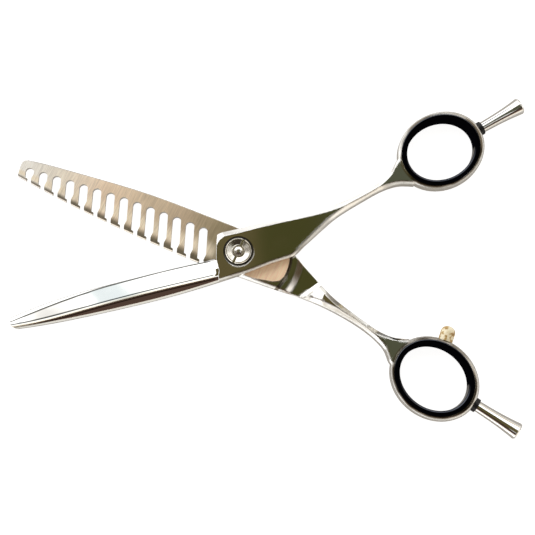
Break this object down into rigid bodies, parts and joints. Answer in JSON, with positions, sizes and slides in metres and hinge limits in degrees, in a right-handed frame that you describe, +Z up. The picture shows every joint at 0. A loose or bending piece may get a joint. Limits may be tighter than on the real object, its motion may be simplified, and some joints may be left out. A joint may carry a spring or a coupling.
{
  "type": "thinning shears",
  "caption": "Hair thinning shears: a plain blade and a slotted comb blade crossing at a slotted tension nut, with lined finger rings, screw-in finger rests and a bumper.",
  "frame": {"origin": "on the pivot axis, at the back face of the pivot stud's head, which is level with the surface that the shears lie on", "axes": "+X from the blade tips towards the finger rings, +Y towards the plain half's finger ring, +Z up along the pivot axis, from the stud's head to the tension nut"},
  "size_m": [0.1571, 0.1047, 0.0061],
  "materials": {
    "polished_steel": "mirror polished",
    "comb_steel": "polished outside, brushed riding face",
    "stud_steel": "polished",
    "nut_steel": "turned",
    "spring_steel": "plain",
    "bronze_washer": "plain",
    "white_nylon": "matt",
    "black_insert": "glossy",
    "rest_steel": "polished",
    "black_washer": "satin",
    "cream_bumper": "satin",
    "bumper_stem": "plain"
  },
  "bodies": {
    "comb_half": {"comb_blade": "comb_steel", "pivot_stud": "stud_steel", "glide_washer": "white_nylon", "thrust_washer": "bronze_washer", "spring_washer": "spring_steel", "comb_ring_insert": "black_insert", "bumper_cap": "cream_bumper", "bumper_stem": "bumper_stem"},
    "plain_half": {"plain_blade": "polished_steel", "pivot_bushing": "white_nylon", "plain_ring_insert": "black_insert"},
    "tension_nut": {"tension_nut": "nut_steel"},
    "plain_rest_washer": {"plain_rest_washer": "black_washer"},
    "plain_finger_rest": {"plain_finger_rest": "rest_steel"},
    "comb_rest_washer": {"comb_rest_washer": "black_washer"},
    "comb_finger_rest": {"comb_finger_rest": "rest_steel"}
  },
  "joints": [
    {"name": "blade_swing", "type": "hinge", "parent": "comb_half", "child": "plain_half", "pos_m": [0, 0, 0.00275], "axis": [0, 0, 1], "range_deg": [-36.3, 50]},
    {"name": "nut_turn", "type": "hinge", "parent": "comb_half", "child": "tension_nut", "pos_m": [0, 0, 0.00575], "axis": [0, 0, 1], "range_deg": [-90, 90]},
    {"name": "plain_rest_travel", "type": "slide", "parent": "plain_half", "child": "plain_rest_washer", "axis": [0.8637, 0.5041, 0], "range_m": [0, 0.0027]},
    {"name": "plain_rest_turn", "type": "hinge", "parent": "plain_rest_washer", "child": "plain_finger_rest", "pos_m": [0.07419, 0.03883, 0.00275], "axis": [0.8637, 0.5041, 0], "range_deg": [0, 2160]},
    {"name": "comb_rest_travel", "type": "slide", "parent": "comb_half", "child": "comb_rest_washer", "axis": [0.8415, -0.5402, 0], "range_m": [0, 0.0027]},
    {"name": "comb_rest_turn", "type": "hinge", "parent": "comb_rest_washer", "child": "comb_finger_rest", "pos_m": [0.07013, -0.04579, 0.00275], "axis": [0.8415, -0.5402, 0], "range_deg": [0, 2160]}
  ],
  "couplings": [
    {"joint": "plain_rest_turn", "follows": "plain_rest_travel", "rad_per_m": 13962},
    {"joint": "comb_rest_turn", "follows": "comb_rest_travel", "rad_per_m": 13962}
  ]
}
